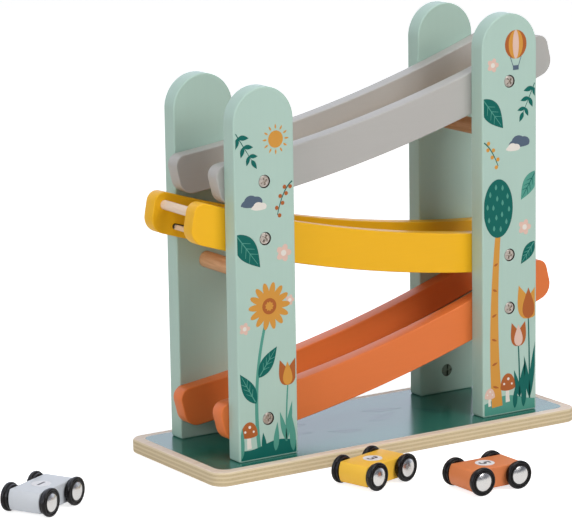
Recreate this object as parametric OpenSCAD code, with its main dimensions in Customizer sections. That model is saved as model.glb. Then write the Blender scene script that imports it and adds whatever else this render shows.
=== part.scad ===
// Wooden click clack track: a base board, four round-topped posts, three curved ramps and three cars.
// The origin is the centre of the base board's underside. X runs along the ramps, Y to the back, Z up.

/* [Base] */
// Length of the base board
base_l = 277; // [250:1:340]
// Width of the base board
base_w = 110; // [106:1:150]
// Thickness of the base board
base_t = 9; // [8:0.5:15]
// Radius of the base board's corners
base_corner_r = 10; // [2:0.5:20]

/* [Posts] */
// Width of a post, whose top is a half circle of this width
post_w = 43; // [36:1:48]
// Thickness of a post
post_t = 12; // [11:0.5:16]
// Height of the two left posts above the base
left_post_h = 232; // [212:1:280]
// Height of the two right posts above the base
right_post_h = 261; // [250:1:300]
// Distance between the middles of the left and right posts
post_pitch = 185; // [165:1:190]
// Clear width between the front and back posts
lane_w = 58; // [54:0.5:60]

/* [Ramps] */
// Radius of a ramp's mid-line, which curves upwards
ramp_r = 960; // [700:5:1500]
// Length of a ramp along its mid-line
ramp_l = 259.5; // [240:0.5:270]
// Height of a ramp's cheeks
ramp_h = 25.5; // [23:0.5:30]
// Thickness of a cheek
cheek_t = 10.5; // [9:0.5:11.5]
// Reach of a ramp past the lower screws, along its mid-line
low_overhang = 25.5; // [18:0.5:32]
// Radius of the upper corners at a cheek's ends
cheek_top_r = 7; // [3:0.5:9]
// Radius of the lower corners at a cheek's ends
cheek_bottom_r = 10; // [3:0.5:12]
// Height of the top ramp's screws above the base, at its lower end
top_low_z = 173.8; // [168:0.1:180]
// Height of the top ramp's screws above the base, at its upper end
top_high_z = 217.7; // [212:0.1:226]
// Height of the middle ramp's screws above the base, at its lower end
middle_low_z = 105.1; // [100:0.1:110]
// Height of the middle ramp's screws above the base, at its upper end
middle_high_z = 138.4; // [134:0.1:144]
// Height of the bottom ramp's screws above the base, at its lower end
bottom_low_z = 25.3; // [25:0.1:30]
// Height of the bottom ramp's screws above the base, at its upper end
bottom_high_z = 70.2; // [64:0.1:76]

/* [Ramp floors] */
// Thickness of a floor panel
floor_t = 3; // [2:0.25:3.5]
// Depth of a floor panel's middle below the ramp's mid-line
floor_drop = 7; // [5.5:0.25:8]
// Depth of the grooves that hold the floor panel
groove_depth = 5; // [2:0.5:7]
// Gap over the floor panel in its grooves
groove_gap = 0.8; // [0.2:0.1:1.2]
// Distance from the ramp's upper end to its floor panel
floor_high_inset = 18; // [16:0.5:26]
// Distance from the ramp's lower end to its floor panel, where the car drops through
floor_low_inset = 32; // [26:0.5:45]
// Diameter of the round bar that stops the car at the upper end
stop_d = 6; // [4:0.5:7]
// Distance from the ramp's upper end to the middle of the stop bar
stop_inset = 7; // [6:0.5:9]
// Height of the stop bar's middle above the ramp's mid-line
stop_rise = 5; // [3:0.5:6.5]
// Depth of the stop bar's seat in each cheek
stop_seat = 6; // [2:0.5:8]

/* [Braces] */
// Diameter of the round braces between the front and back posts
brace_d = 10.5; // [6:0.5:14]
// Depth of a brace's seat in each post
brace_seat = 8; // [4:0.5:10]
// Height of the left brace above the base
left_brace_z = 114; // [108:1:117]
// Height of the right brace above the base
right_brace_z = 184; // [150:1:190]

/* [Screws and bolts] */
// Diameter of a ramp screw's head
screw_head_d = 7.4; // [6:0.1:9]
// Height of a ramp screw's head
screw_head_h = 2.2; // [1.5:0.1:3]
// Depth of a screw's head below the face of its post
screw_sink = 0.4; // [0:0.1:3]
// Diameter of a ramp screw's shank
screw_d = 4; // [3:0.1:5]
// Length of a ramp screw under its head
screw_l = 16.5; // [14:0.5:17]
// Diameter of the bolts that hold the posts on the base
bolt_d = 5; // [4:0.1:6]
// Diameter of a bolt's head
bolt_head_d = 9; // [8:0.1:11]
// Height of a bolt's head
bolt_head_h = 2.8; // [2:0.1:3.5]
// Depth of a bolt's head below the underside of the base
bolt_sink = 0.7; // [0.2:0.1:1.5]
// Diameter of a barrel nut
nut_d = 8; // [7.5:0.1:10]
// Length of a barrel nut
nut_l = 9.6; // [9:0.1:10]
// Height of the barrel nuts above the base
nut_z = 15; // [12:0.5:18]
// Diameter of the wooden pins beside each bolt
pin_d = 6; // [4:0.5:7]
// Length of a pin
pin_l = 16; // [12:0.5:20]
// Depth of a pin in the base board
pin_seat = 5; // [3:0.5:6]
// Distance from a bolt to the pins beside it
pin_offset = 13; // [11:0.5:13]

/* [Cars] */
// Length of a car's body over its rounded ends
car_l = 41.5; // [36:0.5:46]
// Width of a car's body
car_w = 22; // [18:0.5:22.5]
// Height of a car's body
car_h = 13; // [9:0.5:14]
// Swell of each end of the body, which bulges in a flat arc from top to bottom
car_nose = 2; // [0.5:0.1:4]
// Diameter of a wheel's tread
wheel_d = 17.5; // [16.5:0.5:19]
// Width of a wheel
wheel_w = 4.5; // [3.5:0.1:5]
// Width of the narrower step of a wheel, next to the body
wheel_step_w = 1.8; // [0.8:0.1:1.8]
// Distance between a car's axles
wheelbase = 27.2; // [22:0.1:32]
// Diameter of an axle
axle_d = 2.5; // [1.5:0.1:3.5]
// Diameter of the domed cap on a wheel
cap_d = 11; // [8:0.1:12]
// Height of a cap's dome
cap_h = 1.6; // [0.8:0.1:2]
// Diameter of the round number label
label_d = 12; // [8:0.5:16]
// Thickness of the number label
label_t = 0.2; // [0.1:0.05:0.5]
// Distance of the label from the car's middle, towards its front
label_offset = 1.5; // [0:0.5:4]

/* [Where the cars stand] */
// White car's place along X
white_x = -244; // [-300:1:-230]
// White car's place along Y
white_y = -28; // [-60:1:40]
// White car's turn from the X axis
white_turn = 28; // [0:1:45]
// Yellow car's place along X
yellow_x = -52; // [-70:1:60]
// Yellow car's place along Y
yellow_y = -97; // [-98:1:-96]
// Yellow car's turn from the X axis
yellow_turn = 15; // [0:1:16]
// Orange car's place along X
orange_x = -3; // [-40:1:80]
// Orange car's place along Y
orange_y = -146; // [-180:1:-144]
// Orange car's turn from the X axis
orange_turn = 0; // [-10:1:2]

/* [Hidden] */

// Facets of the long ramp curves, of a cap's dome and of every other round shape
long_fn = 2160;
dome_fn = 360;
$fn = 64;
// Overrun of every cut past the face that it opens
cut = 1;

// Colours of the finishes
mint_paint = "#b0c9bc";
grey_paint = "#b4b4b0";
yellow_paint = "#e8b22a";
orange_paint = "#e0824e";
white_paint = "#d7dade";
plywood = "#d7c8aa";
pale_wood = "#e1c3aa";
beech = "#af805f";
steel = "#b9b4ac";
black_plastic = "#1e1e1e";
label_white = "#eeeeee";

// Radial gap round a glued bar or pin, and its gap at the end of its seat
glue_gap = 0.1;
seat_gap = 0.3;
// Radial gaps round a screw's shank, a screw's head, a bolt, a bolt's head and a barrel nut
screw_gap = 0.05;
head_gap = 0.4;
bolt_gap = 0.2;
bolt_head_gap = 0.4;
nut_gap = 0.1;
thread_gap = 0.05;
// Gap at the sides of a floor panel in its grooves
floor_side_gap = 0.3;
// Reach of a bolt past its barrel nut, and the gap over a bolt's end
bolt_reach = 1.5;
bolt_end_gap = 1;
// Cross-shaped driver slot of a screw: its length, width and depth
slot_l = 4.4;
slot_w = 1.1;
slot_depth = 1.2;
// Driver slot of a barrel nut: its width and depth
nut_slot_w = 1.2;
nut_slot_depth = 1;
// Hexagonal socket of a bolt: its width and depth
socket_w = 3.4;
socket_depth = 1.6;

// Gap between a wheel and its car, running gap of an axle, and gap of an axle in its wheel
wheel_gap = 0.35;
axle_run_gap = 0.06;
axle_fit_gap = 0.02;
// Height of a wheel's tread above the step, and the bevel of its edges
tread_rise = 1.05;
tread_bevel = 0.8;
// Width of the tyre ring on a wheel's face, and the width and depth of the groove inside it
tyre_ring_w = 0.8;
ring_groove_w = 0.5;
ring_groove_depth = 0.6;
// Depth of the seat of a wheel's cap, and its radial gap
cap_seat = 0.5;
cap_gap = 0.1;
// Thickness of a cap at its edge
cap_edge_t = 0.4;

// Faces of the posts and cheeks on the back side, and the middle of the posts' thickness
post_inner_y = lane_w / 2;
post_outer_y = post_inner_y + post_t;
post_mid_y = post_inner_y + post_t / 2;
cheek_inner_y = post_inner_y - cheek_t;
// Radius of the edges of a cheek, the floor panel and the stop bar's place, about the ramp's centre
cheek_top_edge_r = ramp_r - ramp_h / 2;
cheek_bottom_edge_r = ramp_r + ramp_h / 2;
floor_top_r = ramp_r + floor_drop - floor_t / 2;
floor_bottom_r = ramp_r + floor_drop + floor_t / 2;
stop_r = ramp_r - stop_rise;

// The ends of a ramp, as angles from its low end
ramp_turn = arc_angle(ramp_l, ramp_r);
floor_low_turn = arc_angle(floor_low_inset, ramp_r);
floor_high_turn = arc_angle(ramp_l - floor_high_inset, ramp_r);
stop_turn = arc_angle(ramp_l - stop_inset, ramp_r);

// A ramp is [height of its low screws, height of its high screws, side of its high end]
top_ramp = [top_low_z, top_high_z, 1];
middle_ramp = [middle_low_z, middle_high_z, -1];
bottom_ramp = [bottom_low_z, bottom_high_z, 1];
ramps = [top_ramp, middle_ramp, bottom_ramp];

// A car's place is [x, y, turn]
white_place = [white_x, white_y, white_turn];
yellow_place = [yellow_x, yellow_y, yellow_turn];
orange_place = [orange_x, orange_y, orange_turn];

// Angle in degrees of an arc of the given length and radius
function arc_angle(length, radius) = length / radius * 180 / PI;
// Place at the given radius and angle, where angle zero is straight down
function polar(radius, angle) = [radius * sin(angle), -radius * cos(angle)];
// Angle of the line from a ramp's low screws to its high ones
function ramp_slope(ramp) = atan2(ramp[1] - ramp[0], post_pitch);
// Angle, seen from the ramp's centre, of half the stretch between its two screws
function half_screw_turn(ramp) =
    asin(norm([post_pitch, ramp[1] - ramp[0]]) / 2 / ramp_r);
// Angle of a ramp's low end from straight down
function low_end_angle(ramp) =
    ramp_slope(ramp) - half_screw_turn(ramp) - arc_angle(low_overhang, ramp_r);
// Centre of a ramp's curve, above the middle of the line between its screws
function ramp_centre(ramp) =
    [0, base_t + (ramp[0] + ramp[1]) / 2]
    + ramp_r * cos(half_screw_turn(ramp)) * [-sin(ramp_slope(ramp)), cos(ramp_slope(ramp))];
// Heights of the ramp screws at the left or right posts
function screw_heights(side) = [for (ramp = ramps) base_t + (ramp[2] == side ? ramp[1] : ramp[0])];

// A board from y to y + thickness, whose outline is drawn in X and Z
module board(y, thickness)
    translate([0, y + thickness, 0])
        rotate([90, 0, 0])
            linear_extrude(thickness) children();

// A round bar along Y, from y to y + length
module bar(x, y, z, diameter, length)
    translate([x, y, z])
        rotate([-90, 0, 0])
            cylinder(d = diameter, h = length);

// A rectangle with round corners, centred
module round_rectangle(length, width, radius)
    union() {
        square([length - 2 * radius, width], center = true);
        square([length, width - 2 * radius], center = true);
        for (x = [-1, 1], y = [-1, 1])
            translate([x * (length / 2 - radius), y * (width / 2 - radius)]) circle(radius);
    }

// A curved band between two radii and two angles about the origin
module band(inner_r, outer_r, from_angle, to_angle)
    intersection() {
        difference() {
            circle(outer_r, $fn = long_fn);
            circle(inner_r, $fn = long_fn);
        }
        polygon([[0, 0], 2 * polar(outer_r, from_angle), 2 * polar(outer_r, to_angle)]);
    }

// Outline of a cheek about the centre of its curve, with its low end straight down.
// Its two ends are cut square to the line between them, and their corners are round.
module cheek_outline() {
    reach = ramp_r * sin(ramp_turn / 2);
    top_centre_r = cheek_top_edge_r + cheek_top_r;
    bottom_centre_r = cheek_bottom_edge_r - cheek_bottom_r;
    top_turn = asin((reach - cheek_top_r) / top_centre_r);
    bottom_turn = asin((reach - cheek_bottom_r) / bottom_centre_r);
    rotate(ramp_turn / 2)
        union() {
            band(cheek_top_edge_r, bottom_centre_r, -top_turn, top_turn);
            band(top_centre_r, cheek_bottom_edge_r, -bottom_turn, bottom_turn);
            for (end = [-1, 1]) {
                top_corner = polar(top_centre_r, end * top_turn);
                bottom_corner = polar(bottom_centre_r, end * bottom_turn);
                translate([end * (reach - cheek_bottom_r), (top_corner[1] + bottom_corner[1]) / 2])
                    square([2 * cheek_bottom_r, top_corner[1] - bottom_corner[1]], center = true);
                translate(top_corner) circle(cheek_top_r);
                translate(bottom_corner) circle(cheek_bottom_r);
            }
        }
}

// Outline of the groove for the floor panel, whose round ends lie past the panel's ends
module groove_outline() {
    groove_r = (floor_top_r - groove_gap + floor_bottom_r) / 2;
    groove_h = floor_t + groove_gap;
    union() {
        band(floor_top_r - groove_gap, floor_bottom_r, floor_low_turn, floor_high_turn);
        for (angle = [floor_low_turn, floor_high_turn])
            translate(polar(groove_r, angle)) circle(d = groove_h);
    }
}

// Puts an outline or bar drawn about a ramp's centre in its place
module in_ramp(ramp)
    mirror([ramp[2] < 0 ? 1 : 0, 0, 0])
        translate([ramp_centre(ramp)[0], 0, ramp_centre(ramp)[1]])
            rotate([0, -low_end_angle(ramp), 0]) children();

// Puts what is drawn for the back side on the front
module on_front() mirror([0, 1, 0]) children();

// Base board of plywood, with holes for the bolts and pins of the four posts
module base_board()
    color(plywood)
        difference() {
            linear_extrude(base_t) round_rectangle(base_l, base_w, base_corner_r);
            for (side = [-1, 1], face = [-1, 1])
                translate([side * post_pitch / 2, face * post_mid_y, 0]) {
                    translate([0, 0, -cut])
                        cylinder(d = bolt_d + 2 * bolt_gap, h = base_t + 2 * cut);
                    translate([0, 0, -cut])
                        cylinder(d = bolt_head_d + 2 * bolt_head_gap, h = bolt_head_h + bolt_sink + cut);
                    for (step = [-1, 1])
                        translate([step * pin_offset, 0, base_t - pin_seat - seat_gap])
                            cylinder(d = pin_d + 2 * glue_gap, h = pin_seat + seat_gap + cut);
                }
        }

// Post of the back side: side is -1 for the left one and 1 for the right one
module post(side) {
    x = side * post_pitch / 2;
    post_h = side < 0 ? left_post_h : right_post_h;
    brace_z = base_t + (side < 0 ? left_brace_z : right_brace_z);
    color(mint_paint)
        difference() {
            board(post_inner_y, post_t) union() {
                translate([x - post_w / 2, base_t]) square([post_w, post_h - post_w / 2]);
                translate([x, base_t + post_h - post_w / 2]) circle(d = post_w);
            }
            for (z = screw_heights(side)) {
                bar(x, post_inner_y - cut, z, screw_d + 2 * screw_gap, post_t + 2 * cut);
                bar(x, post_outer_y - screw_sink - screw_head_h, z, screw_head_d + 2 * head_gap,
                    screw_sink + screw_head_h + cut);
            }
            bar(x, post_inner_y - cut, brace_z, brace_d + 2 * glue_gap, brace_seat + seat_gap + cut);
            bar(x, post_inner_y - cut, base_t + nut_z, nut_d + 2 * nut_gap, nut_l + seat_gap + cut);
            translate([x, post_mid_y, base_t - cut])
                cylinder(d = bolt_d + 2 * bolt_gap, h = nut_z + nut_d / 2 + bolt_reach + bolt_end_gap + cut);
            for (step = [-1, 1])
                translate([x + step * pin_offset, post_mid_y, base_t - cut])
                    cylinder(d = pin_d + 2 * glue_gap, h = pin_l - pin_seat + seat_gap + cut);
        }
}

// Cheek of the back side, with its groove, its stop bar's seat and the holes for two screws
module cheek(ramp, paint)
    color(paint)
        difference() {
            in_ramp(ramp) board(cheek_inner_y, cheek_t) cheek_outline();
            in_ramp(ramp) board(cheek_inner_y - cut, groove_depth + cut) groove_outline();
            in_ramp(ramp)
                bar(polar(stop_r, stop_turn)[0], cheek_inner_y - cut, polar(stop_r, stop_turn)[1],
                    stop_d + 2 * glue_gap, stop_seat + seat_gap + cut);
            for (side = [-1, 1])
                bar(side * post_pitch / 2, post_outer_y - screw_sink - screw_head_h - screw_l - seat_gap,
                    base_t + (ramp[2] == side ? ramp[1] : ramp[0]), screw_d + 2 * screw_gap,
                    screw_l + seat_gap);
        }

// Curved floor panel, whose sides lie in the grooves of the two cheeks
module floor_panel(ramp)
    color(pale_wood) {
        half_w = cheek_inner_y + groove_depth - floor_side_gap;
        in_ramp(ramp)
            board(-half_w, 2 * half_w) band(floor_top_r, floor_bottom_r, floor_low_turn, floor_high_turn);
    }

// Round bar across a ramp's upper end
module stop_bar(ramp)
    color(pale_wood) {
        half_l = cheek_inner_y + stop_seat;
        in_ramp(ramp)
            bar(polar(stop_r, stop_turn)[0], -half_l, polar(stop_r, stop_turn)[1], stop_d, 2 * half_l);
    }

// Round brace between a front post and the back post behind it
module brace(side, height)
    color(beech)
        bar(side * post_pitch / 2, -post_inner_y - brace_seat, base_t + height, brace_d,
            2 * (post_inner_y + brace_seat));

// One ramp screw of the back side, driven inwards, with a cross-shaped slot in its head
module ramp_screw(x, z) {
    seat_y = post_outer_y - screw_sink - screw_head_h;
    difference() {
        union() {
            bar(x, seat_y, z, screw_head_d, screw_head_h);
            bar(x, seat_y - screw_l, z, screw_d, screw_l);
        }
        for (size = [[slot_l, slot_w], [slot_w, slot_l]])
            translate([x - size[0] / 2, seat_y + screw_head_h - slot_depth, z - size[1] / 2])
                cube([size[0], slot_depth + cut, size[1]]);
    }
}

// The six ramp screws of the back side
module ramp_screws()
    color(steel)
        for (side = [-1, 1], z = screw_heights(side))
            ramp_screw(side * post_pitch / 2, z);

// Bolts from the underside of the base into the posts, with hexagonal sockets
module post_bolts()
    color(steel)
        for (side = [-1, 1], face = [-1, 1])
            translate([side * post_pitch / 2, face * post_mid_y, bolt_sink])
                difference() {
                    union() {
                        cylinder(d = bolt_head_d, h = bolt_head_h);
                        cylinder(d = bolt_d, h = base_t - bolt_sink + nut_z + nut_d / 2 + bolt_reach);
                    }
                    translate([0, 0, -cut])
                        cylinder(d = socket_w / cos(30), h = socket_depth + cut, $fn = 6);
                }

// Barrel nuts that show as slotted discs on the posts' inner faces
module barrel_nuts()
    color(steel)
        for (side = [-1, 1], face = [-1, 1])
            mirror([0, face < 0 ? 1 : 0, 0])
                difference() {
                    bar(side * post_pitch / 2, post_inner_y, base_t + nut_z, nut_d, nut_l);
                    translate([side * post_pitch / 2, post_mid_y, base_t + nut_z - nut_d])
                        cylinder(d = bolt_d + 2 * thread_gap, h = 2 * nut_d);
                    for (size = [[nut_d, nut_slot_w], [nut_slot_w, nut_d]])
                        translate([side * post_pitch / 2 - size[0], post_inner_y - cut,
                                   base_t + nut_z - size[1] / 2])
                            cube([2 * size[0], nut_slot_depth + cut, size[1]]);
                }

// Wooden pins that keep the posts from turning on the base
module foot_pins()
    color(pale_wood)
        for (side = [-1, 1], face = [-1, 1], step = [-1, 1])
            translate([side * post_pitch / 2 + step * pin_offset, face * post_mid_y, base_t - pin_seat])
                cylinder(d = pin_d, h = pin_l);

// Puts a car's piece at the car's place. A car is drawn with its front towards -X, on z = 0.
module at_place(place)
    translate([place[0], place[1], 0])
        rotate([0, 0, place[2]]) children();

// Side outline of a car's body, about its middle: a rectangle whose two ends bulge in flat arcs
module car_outline() {
    nose_r = (car_h * car_h / 4 + car_nose * car_nose) / (2 * car_nose);
    union() {
        square([car_l - 2 * car_nose, car_h], center = true);
        for (end = [-1, 1])
            intersection() {
                square([car_l, car_h], center = true);
                translate([end * (car_l / 2 - nose_r), 0]) circle(nose_r);
            }
    }
}

// Body of a car: a low block that clears the floor as much below as above, so it also rolls upside down
module car_body(paint)
    color(paint)
        difference() {
            board(-car_w / 2, car_w) translate([0, wheel_d / 2]) car_outline();
            for (end = [-1, 1])
                bar(end * wheelbase / 2, -car_w / 2 - cut, wheel_d / 2, axle_d + 2 * axle_run_gap,
                    car_w + 2 * cut);
        }

// Round label on a car's top
module car_label()
    color(label_white)
        translate([-label_offset, 0, wheel_d / 2 + car_h / 2])
            cylinder(d = label_d, h = label_t);

// Axle of a car: end is -1 for the front one and 1 for the rear one
module car_axle(end) {
    half_l = car_w / 2 + wheel_gap + wheel_w - cap_seat;
    color(steel) bar(end * wheelbase / 2, -half_l, wheel_d / 2, axle_d, 2 * half_l);
}

// Turns a shape made round Z, with its base on z = 0, to stand on a side of the car at an axle
module at_hub(end, side, out)
    translate([end * wheelbase / 2, side * (car_w / 2 + wheel_gap + out), wheel_d / 2])
        rotate([-side * 90, 0, 0]) children();

// Wheel with a narrower step next to the body, a ring groove in its face and a seat for the cap
module wheel(end, side) {
    wheel_r = wheel_d / 2;
    step_r = wheel_r - tread_rise;
    ring_r = wheel_r - tread_bevel - tyre_ring_w;
    hub_r = ring_r - ring_groove_w;
    seat_r = cap_d / 2 + cap_gap;
    bore_r = axle_d / 2 + axle_fit_gap;
    color(black_plastic)
        at_hub(end, side, 0)
            rotate_extrude()
                polygon([
                    [bore_r, 0], [step_r, 0], [step_r, wheel_step_w],
                    [wheel_r - tread_bevel, wheel_step_w], [wheel_r, wheel_step_w + tread_bevel],
                    [wheel_r, wheel_w - tread_bevel], [wheel_r - tread_bevel, wheel_w],
                    [ring_r, wheel_w], [ring_r, wheel_w - ring_groove_depth],
                    [hub_r, wheel_w - ring_groove_depth], [hub_r, wheel_w],
                    [seat_r, wheel_w], [seat_r, wheel_w - cap_seat], [bore_r, wheel_w - cap_seat]
                ]);
}

// The two domed caps on an axle's wheels
module wheel_caps(end) {
    dome_h = cap_h - cap_edge_t;
    dome_r = (cap_d * cap_d / 4 + dome_h * dome_h) / (2 * dome_h);
    color(steel)
        for (side = [-1, 1])
            at_hub(end, side, wheel_w - cap_seat)
                rotate_extrude()
                    intersection() {
                        translate([0, cap_h - dome_r]) circle(dome_r, $fn = dome_fn);
                        square([cap_d / 2, cap_h]);
                    }
}

base_board();
on_front() post(-1);  // front_left_post
on_front() post(1);  // front_right_post
post(-1);  // back_left_post
post(1);  // back_right_post
on_front() cheek(top_ramp, grey_paint);  // top_ramp_front_cheek
cheek(top_ramp, grey_paint);  // top_ramp_back_cheek
floor_panel(top_ramp);  // top_ramp_floor
stop_bar(top_ramp);  // top_ramp_stop_bar
on_front() cheek(middle_ramp, yellow_paint);  // middle_ramp_front_cheek
cheek(middle_ramp, yellow_paint);  // middle_ramp_back_cheek
floor_panel(middle_ramp);  // middle_ramp_floor
stop_bar(middle_ramp);  // middle_ramp_stop_bar
on_front() cheek(bottom_ramp, orange_paint);  // bottom_ramp_front_cheek
cheek(bottom_ramp, orange_paint);  // bottom_ramp_back_cheek
floor_panel(bottom_ramp);  // bottom_ramp_floor
stop_bar(bottom_ramp);  // bottom_ramp_stop_bar
brace(-1, left_brace_z);  // left_brace
brace(1, right_brace_z);  // right_brace
on_front() ramp_screws();  // front_ramp_screws
ramp_screws();  // back_ramp_screws
post_bolts();
barrel_nuts();
foot_pins();

at_place(white_place) car_body(white_paint);  // white_car_body
at_place(white_place) car_label();  // white_car_label
at_place(white_place) car_axle(-1);  // white_car_front_axle
at_place(white_place) car_axle(1);  // white_car_rear_axle
at_place(white_place) wheel(-1, -1);  // white_car_front_left_wheel
at_place(white_place) wheel(-1, 1);  // white_car_front_right_wheel
at_place(white_place) wheel(1, -1);  // white_car_rear_left_wheel
at_place(white_place) wheel(1, 1);  // white_car_rear_right_wheel
at_place(white_place) wheel_caps(-1);  // white_car_front_caps
at_place(white_place) wheel_caps(1);  // white_car_rear_caps

at_place(yellow_place) car_body(yellow_paint);  // yellow_car_body
at_place(yellow_place) car_label();  // yellow_car_label
at_place(yellow_place) car_axle(-1);  // yellow_car_front_axle
at_place(yellow_place) car_axle(1);  // yellow_car_rear_axle
at_place(yellow_place) wheel(-1, -1);  // yellow_car_front_left_wheel
at_place(yellow_place) wheel(-1, 1);  // yellow_car_front_right_wheel
at_place(yellow_place) wheel(1, -1);  // yellow_car_rear_left_wheel
at_place(yellow_place) wheel(1, 1);  // yellow_car_rear_right_wheel
at_place(yellow_place) wheel_caps(-1);  // yellow_car_front_caps
at_place(yellow_place) wheel_caps(1);  // yellow_car_rear_caps

at_place(orange_place) car_body(orange_paint);  // orange_car_body
at_place(orange_place) car_label();  // orange_car_label
at_place(orange_place) car_axle(-1);  // orange_car_front_axle
at_place(orange_place) car_axle(1);  // orange_car_rear_axle
at_place(orange_place) wheel(-1, -1);  // orange_car_front_left_wheel
at_place(orange_place) wheel(-1, 1);  // orange_car_front_right_wheel
at_place(orange_place) wheel(1, -1);  // orange_car_rear_left_wheel
at_place(orange_place) wheel(1, 1);  // orange_car_rear_right_wheel
at_place(orange_place) wheel_caps(-1);  // orange_car_front_caps
at_place(orange_place) wheel_caps(1);  // orange_car_rear_caps
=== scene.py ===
"""The looks of a wooden click clack track: painted boards, curved ramps, turned bars, screws and cars.

Sizes are in millimetres and become metres when a mesh is made. X runs along the ramps, Y to the back and
Z up.
"""
import math

import bpy
import numpy as np
from mathutils import Euler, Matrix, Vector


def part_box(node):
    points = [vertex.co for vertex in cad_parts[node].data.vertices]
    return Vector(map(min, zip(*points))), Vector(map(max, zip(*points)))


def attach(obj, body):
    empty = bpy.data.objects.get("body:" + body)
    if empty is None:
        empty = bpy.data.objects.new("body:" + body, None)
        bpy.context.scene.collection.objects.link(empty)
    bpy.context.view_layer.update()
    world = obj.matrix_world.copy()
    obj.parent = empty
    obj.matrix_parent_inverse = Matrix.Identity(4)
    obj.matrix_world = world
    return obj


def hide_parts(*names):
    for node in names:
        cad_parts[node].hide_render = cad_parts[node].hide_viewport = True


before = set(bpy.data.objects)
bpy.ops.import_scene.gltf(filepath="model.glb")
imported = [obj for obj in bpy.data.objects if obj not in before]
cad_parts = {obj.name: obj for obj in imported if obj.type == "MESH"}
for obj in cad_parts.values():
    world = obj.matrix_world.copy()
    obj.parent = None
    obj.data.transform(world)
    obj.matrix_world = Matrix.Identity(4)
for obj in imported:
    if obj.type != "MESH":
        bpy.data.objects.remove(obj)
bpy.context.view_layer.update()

MM = 0.001

# The two signs of a direction, and what they are called for posts and cars
BOTH_WAYS = (-1, 1)
SIDE_NAMES = {-1: "left", 1: "right"}
FACE_NAMES = {-1: "front", 1: "back"}
END_NAMES = {-1: "front", 1: "rear"}


def corners(node):
    """The lowest and highest corner of a CAD node, in millimetres."""
    return [np.array(corner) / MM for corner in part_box(node)]


# Boards and posts, from the frame
BASE_HALF_L, BASE_HALF_W, BASE_TOP = corners("base_board")[1]
POST_LOW, POST_HIGH = corners("back_right_post")
POST_W = POST_HIGH[0] - POST_LOW[0]
POST_INNER_Y, POST_OUTER_Y = POST_LOW[1], POST_HIGH[1]
POST_X = (POST_LOW[0] + POST_HIGH[0]) / 2
POST_TOP = {-1: corners("back_left_post")[1][2], 1: POST_HIGH[2]}
BASE_CORNER_R = 10
BASE_EDGE_R = 1.6
POST_EDGE_R = 0.9
POST_FOOT_R = 1.5
BOLT_RECESS_D = 9.8
BOLT_RECESS_H = 3.5
BOLT_HOLE_D = 5.4
NUT_D = 8
NUT_GAP = 0.1
NUT_L = 9.6
NUT_RISE = 15

# Ramps: the heights of the low and the high screws over the base, the side of the high end, and the paint
RAMPS = {
    "top_ramp": (173.8, 217.7, 1, "grey_paint"),
    "middle_ramp": (105.1, 138.4, -1, "yellow_paint"),
    "bottom_ramp": (25.3, 70.2, 1, "orange_paint"),
}
RAMP_R = 960
RAMP_L = 259.5
RAMP_H = 25.5
RAMP_EDGE_R = 0.7
CHEEK_T = 10.5
CHEEK_TOP_R = 7
CHEEK_BOTTOM_R = 10
LOW_OVERHANG = 25.5
FLOOR_T = 3
FLOOR_DROP = 7
FLOOR_LOW_INSET = 32
FLOOR_HIGH_INSET = 18
FLOOR_CORNER_R = 0.5
FLOOR_EDGE_R = 0.3
GROOVE_DEPTH = 5
GROOVE_GAP = 0.8
GROOVE_ROUND = 0.98
FLOOR_SIDE_GAP = 0.3
STOP_D = 6
STOP_INSET = 7
STOP_RISE = 5
STOP_SEAT = 6
STOP_END_GAP = 0.3
BAR_GAP = 0.1

# Screws and braces
SCREW_HEAD_D = 7.4
SCREW_HEAD_H = 2.2
SCREW_SINK = 0.4
SCREW_D = 4
SCREW_L = 16.5
SCREW_GAP = 0.05
HEAD_GAP = 0.4
RIM_R = 0.5
RING_R = 2.75
RING_DEPTH = 0.15
RING_SLOPE = 0.15
RING_FLOOR = 0.1
CROSS_L = 4.4
CROSS_W = 1.1
CROSS_DEPTH = 1.1
CROSS_SLOPE = 0.25
FACE_STEP = 0.12
FIRST_SCREW_TURN = 20
NEXT_SCREW_TURN = 37
BRACE_D = 10.5
BRACE_SEAT = 8
ROD_EDGE_R = 0.4

# Cars: x, y, turn from the X axis, paint and number
CARS = {
    "white_car": (-244, -28, 28, "white_paint", "1"),
    "yellow_car": (-52, -97, 15, "yellow_paint", "3"),
    "orange_car": (-3, -146, 0, "orange_paint", "5"),
}
CAR_L = 41.5
CAR_W = 22
CAR_H = 13
CAR_NOSE = 2
CAR_CORNER_R = 1.2
CAR_EDGE_R = 0.8
WHEELBASE = 27.2
WHEEL_D = 17.5
WHEEL_W = 4.5
WHEEL_GAP = 0.35
STEP_W = 1.8
STEP_CUT = 0.4
TREAD_RISE = 1.05
TREAD_INNER_CUT = 0.9
TREAD_OUTER_CUT = 1.1
TYRE_BEVEL = 0.8
TYRE_RING_W = 0.8
TYRE_RING_CUT = 0.25
RING_GROOVE_W = 0.5
RING_GROOVE_DEPTH = 0.6
INNER_CUT = 0.15
GROOVE_CUT = 0.12
AXLE_D = 2.5
AXLE_GAP = 0.06
HUB_GAP = 0.02
CAP_D = 11
CAP_H = 1.6
CAP_EDGE_H = 0.4
CAP_SEAT = 0.5
CAP_GAP = 0.1
DIMPLE_R = 0.45
DIMPLE_DEPTH = 0.1
LABEL_D = 12
LABEL_T = 0.2
LABEL_EDGE_R = 0.08
LABEL_OFFSET = 1.5
FIGURE_H = 7.7
FIGURE_T = 0.04
FIGURE_EXTRUDE = 0.01
FIGURE_BOLD = 0.02

# Cutting shapes: how far they pass a face, the skin left between two of them, and how round their ends are
OVERRUN = 1
CUT_SKIN = 0.1
CUTTER_EDGE_R = 0.01

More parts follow.
